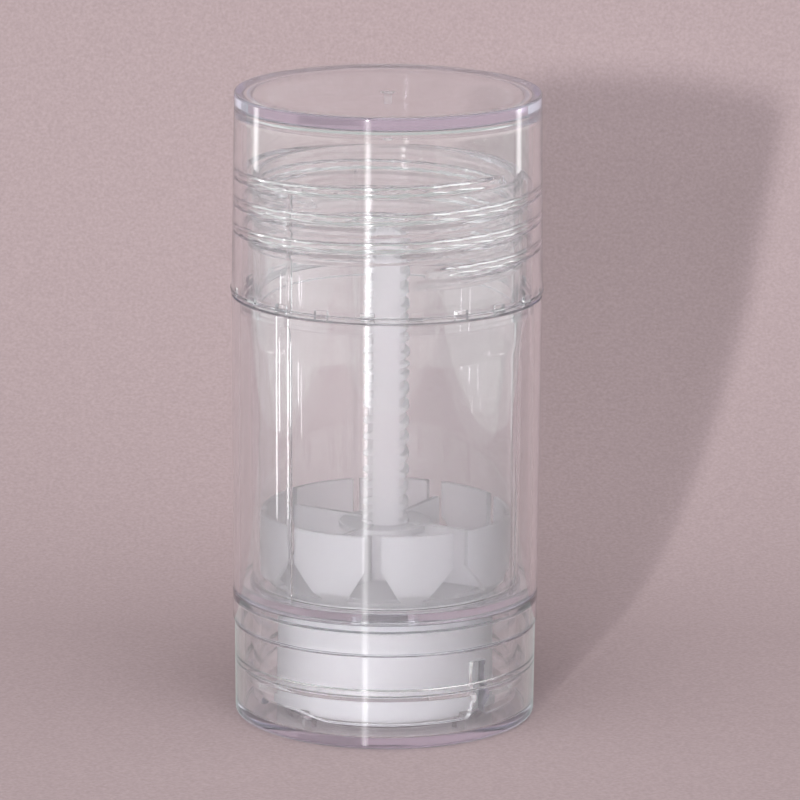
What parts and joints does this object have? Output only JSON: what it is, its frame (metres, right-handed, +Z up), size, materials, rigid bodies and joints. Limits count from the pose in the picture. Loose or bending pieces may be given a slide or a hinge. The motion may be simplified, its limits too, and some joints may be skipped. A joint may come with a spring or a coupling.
{
  "type": "twist-up stick container",
  "caption": "Clear round twist-up container: screw cap, double-walled barrel with threaded neck, base knob, and a milky drive screw and petalled elevator inside.",
  "frame": {"origin": "centre of the base knob's underside, where the container stands", "axes": "+Z up along the common axis of every piece; the screw's two flats face +Y and -Y"},
  "size_m": [0.0502, 0.0502, 0.1022],
  "materials": {
    "clear_plastic": "clear, polished mould",
    "milky_plastic": "translucent natural polypropylene"
  },
  "bodies": {
    "barrel": {"barrel": "clear_plastic", "outer_sleeve": "clear_plastic"},
    "cap": {"cap": "clear_plastic"},
    "knob": {"base_knob": "clear_plastic", "drive_screw": "milky_plastic"},
    "elevator": {"elevator": "milky_plastic"}
  },
  "joints": [
    {"name": "knob_turn", "type": "hinge", "parent": "barrel", "child": "knob", "pos_m": [0, 0, 0], "axis": [0, 0, -1], "range_deg": [0, 3420]},
    {"name": "elevator_lift", "type": "slide", "parent": "barrel", "child": "elevator", "axis": [0, 0, 1], "range_m": [0, 0.05132]},
    {"name": "cap_lift", "type": "slide", "parent": "barrel", "child": "cap", "axis": [0, 0, 1], "range_m": [0, 0.04]}
  ],
  "couplings": [
    {"joint": "elevator_lift", "follows": "knob_turn", "m_per_rad": 0.00085944}
  ]
}
